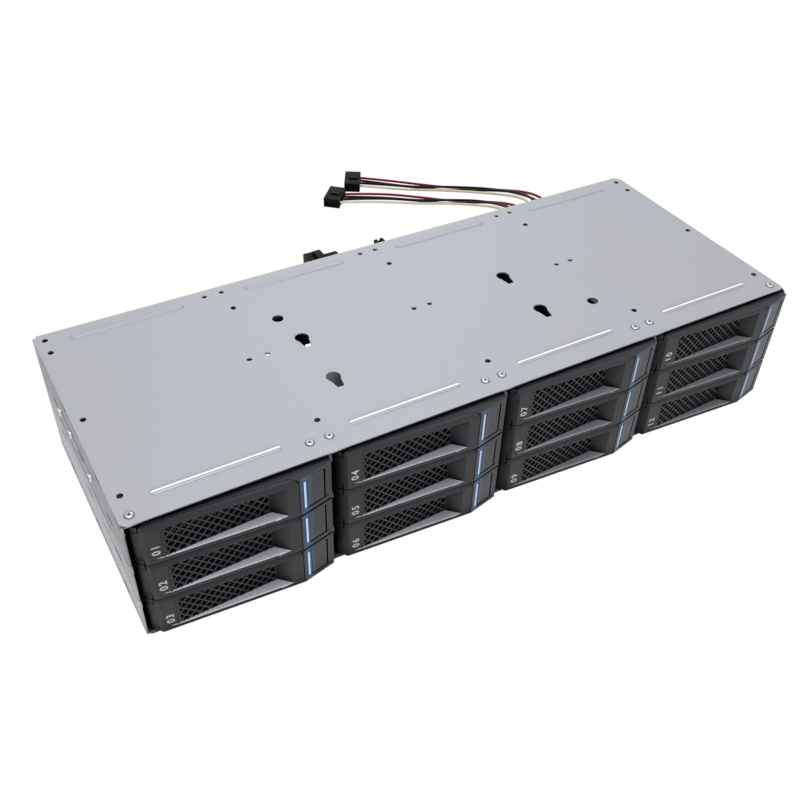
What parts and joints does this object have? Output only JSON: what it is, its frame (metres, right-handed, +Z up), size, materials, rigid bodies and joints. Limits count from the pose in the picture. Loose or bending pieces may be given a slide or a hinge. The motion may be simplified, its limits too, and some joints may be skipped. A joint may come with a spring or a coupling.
{
  "type": "hot swap drive cage",
  "caption": "Plated steel drive cage for a 2U chassis, with sliding drive trays, swing handles with grilles, release buttons, a rear circuit board and two power leads",
  "frame": {"origin": "centre of the underside of the bottom plate", "axes": "+X to the right as seen from the front, +Y from the tray fronts to the rear board, +Z up"},
  "size_m": [0.4376, 0.41, 0.0848],
  "materials": {
    "plated_steel": "zinc plated sheet, satin",
    "screw_steel": "bright plated",
    "circuit_board": "green solder mask, satin",
    "socket_plastic": "moulded, satin",
    "header_plastic": "moulded, satin",
    "tray_plastic": "moulded, fine grain",
    "handle_plastic": "moulded, fine grain",
    "button_plastic": "moulded, satin",
    "wire_yellow": "flexible sleeve, satin",
    "wire_black": "flexible sleeve, satin",
    "wire_red": "flexible sleeve, satin"
  },
  "bodies": {
    "cage": {"top_plate": "plated_steel", "bottom_plate": "plated_steel", "side_plate_left": "plated_steel", "side_plate_right": "plated_steel", "divider_1": "plated_steel", "divider_2": "plated_steel", "divider_3": "plated_steel", "backplane_board": "circuit_board", "drive_sockets": "socket_plastic", "power_headers": "header_plastic", "data_ports": "socket_plastic", "signal_connectors": "socket_plastic", "cage_screws": "screw_steel", "board_screws": "screw_steel", "plug_outer": "header_plastic", "plug_inner": "header_plastic", "wire_outer_yellow": "wire_yellow", "wire_outer_black_a": "wire_black", "wire_outer_black_b": "wire_black", "wire_outer_red": "wire_red", "wire_inner_yellow": "wire_yellow", "wire_inner_black_a": "wire_black", "wire_inner_black_b": "wire_black", "wire_inner_red": "wire_red"},
    "tray_r1_c1": {"tray_r1_c1": "tray_plastic"},
    "handle_r1_c1": {"handle_r1_c1": "handle_plastic"},
    "release_button_r1_c1": {"release_button_r1_c1": "button_plastic"},
    "tray_r1_c2": {"tray_r1_c2": "tray_plastic"},
    "handle_r1_c2": {"handle_r1_c2": "handle_plastic"},
    "release_button_r1_c2": {"release_button_r1_c2": "button_plastic"},
    "tray_r1_c3": {"tray_r1_c3": "tray_plastic"},
    "handle_r1_c3": {"handle_r1_c3": "handle_plastic"},
    "release_button_r1_c3": {"release_button_r1_c3": "button_plastic"},
    "tray_r1_c4": {"tray_r1_c4": "tray_plastic"},
    "handle_r1_c4": {"handle_r1_c4": "handle_plastic"},
    "release_button_r1_c4": {"release_button_r1_c4": "button_plastic"},
    "tray_r2_c1": {"tray_r2_c1": "tray_plastic"},
    "handle_r2_c1": {"handle_r2_c1": "handle_plastic"},
    "release_button_r2_c1": {"release_button_r2_c1": "button_plastic"},
    "tray_r2_c2": {"tray_r2_c2": "tray_plastic"},
    "handle_r2_c2": {"handle_r2_c2": "handle_plastic"},
    "release_button_r2_c2": {"release_button_r2_c2": "button_plastic"},
    "tray_r2_c3": {"tray_r2_c3": "tray_plastic"},
    "handle_r2_c3": {"handle_r2_c3": "handle_plastic"},
    "release_button_r2_c3": {"release_button_r2_c3": "button_plastic"},
    "tray_r2_c4": {"tray_r2_c4": "tray_plastic"},
    "handle_r2_c4": {"handle_r2_c4": "handle_plastic"},
    "release_button_r2_c4": {"release_button_r2_c4": "button_plastic"},
    "tray_r3_c1": {"tray_r3_c1": "tray_plastic"},
    "handle_r3_c1": {"handle_r3_c1": "handle_plastic"},
    "release_button_r3_c1": {"release_button_r3_c1": "button_plastic"},
    "tray_r3_c2": {"tray_r3_c2": "tray_plastic"},
    "handle_r3_c2": {"handle_r3_c2": "handle_plastic"},
    "release_button_r3_c2": {"release_button_r3_c2": "button_plastic"},
    "tray_r3_c3": {"tray_r3_c3": "tray_plastic"},
    "handle_r3_c3": {"handle_r3_c3": "handle_plastic"},
    "release_button_r3_c3": {"release_button_r3_c3": "button_plastic"},
    "tray_r3_c4": {"tray_r3_c4": "tray_plastic"},
    "handle_r3_c4": {"handle_r3_c4": "handle_plastic"},
    "release_button_r3_c4": {"release_button_r3_c4": "button_plastic"}
  },
  "joints": [
    {"name": "tray_slide_r1_c1", "type": "slide", "parent": "cage", "child": "tray_r1_c1", "axis": [0, -1, 0], "range_m": [0, 0.165]},
    {"name": "handle_swing_r1_c1", "type": "hinge", "parent": "tray_r1_c1", "child": "handle_r1_c1", "pos_m": [-0.2128, -0.08045, 0.06885], "axis": [0, 0, -1], "range_deg": [0, 60]},
    {"name": "button_press_r1_c1", "type": "slide", "parent": "tray_r1_c1", "child": "release_button_r1_c1", "axis": [0, 1, 0], "range_m": [0, 0.002], "stiffness_N_per_m": 600},
    {"name": "tray_slide_r1_c2", "type": "slide", "parent": "cage", "child": "tray_r1_c2", "axis": [0, -1, 0], "range_m": [0, 0.165]},
    {"name": "handle_swing_r1_c2", "type": "hinge", "parent": "tray_r1_c2", "child": "handle_r1_c2", "pos_m": [-0.1038, -0.08045, 0.06885], "axis": [0, 0, -1], "range_deg": [0, 60]},
    {"name": "button_press_r1_c2", "type": "slide", "parent": "tray_r1_c2", "child": "release_button_r1_c2", "axis": [0, 1, 0], "range_m": [0, 0.002], "stiffness_N_per_m": 600},
    {"name": "tray_slide_r1_c3", "type": "slide", "parent": "cage", "child": "tray_r1_c3", "axis": [0, -1, 0], "range_m": [0, 0.165]},
    {"name": "handle_swing_r1_c3", "type": "hinge", "parent": "tray_r1_c3", "child": "handle_r1_c3", "pos_m": [0.0052, -0.08045, 0.06885], "axis": [0, 0, -1], "range_deg": [0, 60]},
    {"name": "button_press_r1_c3", "type": "slide", "parent": "tray_r1_c3", "child": "release_button_r1_c3", "axis": [0, 1, 0], "range_m": [0, 0.002], "stiffness_N_per_m": 600},
    {"name": "tray_slide_r1_c4", "type": "slide", "parent": "cage", "child": "tray_r1_c4", "axis": [0, -1, 0], "range_m": [0, 0.165]},
    {"name": "handle_swing_r1_c4", "type": "hinge", "parent": "tray_r1_c4", "child": "handle_r1_c4", "pos_m": [0.1142, -0.08045, 0.06885], "axis": [0, 0, -1], "range_deg": [0, 60]},
    {"name": "button_press_r1_c4", "type": "slide", "parent": "tray_r1_c4", "child": "release_button_r1_c4", "axis": [0, 1, 0], "range_m": [0, 0.002], "stiffness_N_per_m": 600},
    {"name": "tray_slide_r2_c1", "type": "slide", "parent": "cage", "child": "tray_r2_c1", "axis": [0, -1, 0], "range_m": [0, 0.165]},
    {"name": "handle_swing_r2_c1", "type": "hinge", "parent": "tray_r2_c1", "child": "handle_r2_c1", "pos_m": [-0.2128, -0.08045, 0.04185], "axis": [0, 0, -1], "range_deg": [0, 60]},
    {"name": "button_press_r2_c1", "type": "slide", "parent": "tray_r2_c1", "child": "release_button_r2_c1", "axis": [0, 1, 0], "range_m": [0, 0.002], "stiffness_N_per_m": 600},
    {"name": "tray_slide_r2_c2", "type": "slide", "parent": "cage", "child": "tray_r2_c2", "axis": [0, -1, 0], "range_m": [0, 0.165]},
    {"name": "handle_swing_r2_c2", "type": "hinge", "parent": "tray_r2_c2", "child": "handle_r2_c2", "pos_m": [-0.1038, -0.08045, 0.04185], "axis": [0, 0, -1], "range_deg": [0, 60]},
    {"name": "button_press_r2_c2", "type": "slide", "parent": "tray_r2_c2", "child": "release_button_r2_c2", "axis": [0, 1, 0], "range_m": [0, 0.002], "stiffness_N_per_m": 600},
    {"name": "tray_slide_r2_c3", "type": "slide", "parent": "cage", "child": "tray_r2_c3", "axis": [0, -1, 0], "range_m": [0, 0.165]},
    {"name": "handle_swing_r2_c3", "type": "hinge", "parent": "tray_r2_c3", "child": "handle_r2_c3", "pos_m": [0.0052, -0.08045, 0.04185], "axis": [0, 0, -1], "range_deg": [0, 60]},
    {"name": "button_press_r2_c3", "type": "slide", "parent": "tray_r2_c3", "child": "release_button_r2_c3", "axis": [0, 1, 0], "range_m": [0, 0.002], "stiffness_N_per_m": 600},
    {"name": "tray_slide_r2_c4", "type": "slide", "parent": "cage", "child": "tray_r2_c4", "axis": [0, -1, 0], "range_m": [0, 0.165]},
    {"name": "handle_swing_r2_c4", "type": "hinge", "parent": "tray_r2_c4", "child": "handle_r2_c4", "pos_m": [0.1142, -0.08045, 0.04185], "axis": [0, 0, -1], "range_deg": [0, 60]},
    {"name": "button_press_r2_c4", "type": "slide", "parent": "tray_r2_c4", "child": "release_button_r2_c4", "axis": [0, 1, 0], "range_m": [0, 0.002], "stiffness_N_per_m": 600},
    {"name": "tray_slide_r3_c1", "type": "slide", "parent": "cage", "child": "tray_r3_c1", "axis": [0, -1, 0], "range_m": [0, 0.165]},
    {"name": "handle_swing_r3_c1", "type": "hinge", "parent": "tray_r3_c1", "child": "handle_r3_c1", "pos_m": [-0.2128, -0.08045, 0.01485], "axis": [0, 0, -1], "range_deg": [0, 60]},
    {"name": "button_press_r3_c1", "type": "slide", "parent": "tray_r3_c1", "child": "release_button_r3_c1", "axis": [0, 1, 0], "range_m": [0, 0.002], "stiffness_N_per_m": 600},
    {"name": "tray_slide_r3_c2", "type": "slide", "parent": "cage", "child": "tray_r3_c2", "axis": [0, -1, 0], "range_m": [0, 0.165]},
    {"name": "handle_swing_r3_c2", "type": "hinge", "parent": "tray_r3_c2", "child": "handle_r3_c2", "pos_m": [-0.1038, -0.08045, 0.01485], "axis": [0, 0, -1], "range_deg": [0, 60]},
    {"name": "button_press_r3_c2", "type": "slide", "parent": "tray_r3_c2", "child": "release_button_r3_c2", "axis": [0, 1, 0], "range_m": [0, 0.002], "stiffness_N_per_m": 600},
    {"name": "tray_slide_r3_c3", "type": "slide", "parent": "cage", "child": "tray_r3_c3", "axis": [0, -1, 0], "range_m": [0, 0.165]},
    {"name": "handle_swing_r3_c3", "type": "hinge", "parent": "tray_r3_c3", "child": "handle_r3_c3", "pos_m": [0.0052, -0.08045, 0.01485], "axis": [0, 0, -1], "range_deg": [0, 60]},
    {"name": "button_press_r3_c3", "type": "slide", "parent": "tray_r3_c3", "child": "release_button_r3_c3", "axis": [0, 1, 0], "range_m": [0, 0.002], "stiffness_N_per_m": 600},
    {"name": "tray_slide_r3_c4", "type": "slide", "parent": "cage", "child": "tray_r3_c4", "axis": [0, -1, 0], "range_m": [0, 0.165]},
    {"name": "handle_swing_r3_c4", "type": "hinge", "parent": "tray_r3_c4", "child": "handle_r3_c4", "pos_m": [0.1142, -0.08045, 0.01485], "axis": [0, 0, -1], "range_deg": [0, 60]},
    {"name": "button_press_r3_c4", "type": "slide", "parent": "tray_r3_c4", "child": "release_button_r3_c4", "axis": [0, 1, 0], "range_m": [0, 0.002], "stiffness_N_per_m": 600}
  ]
}
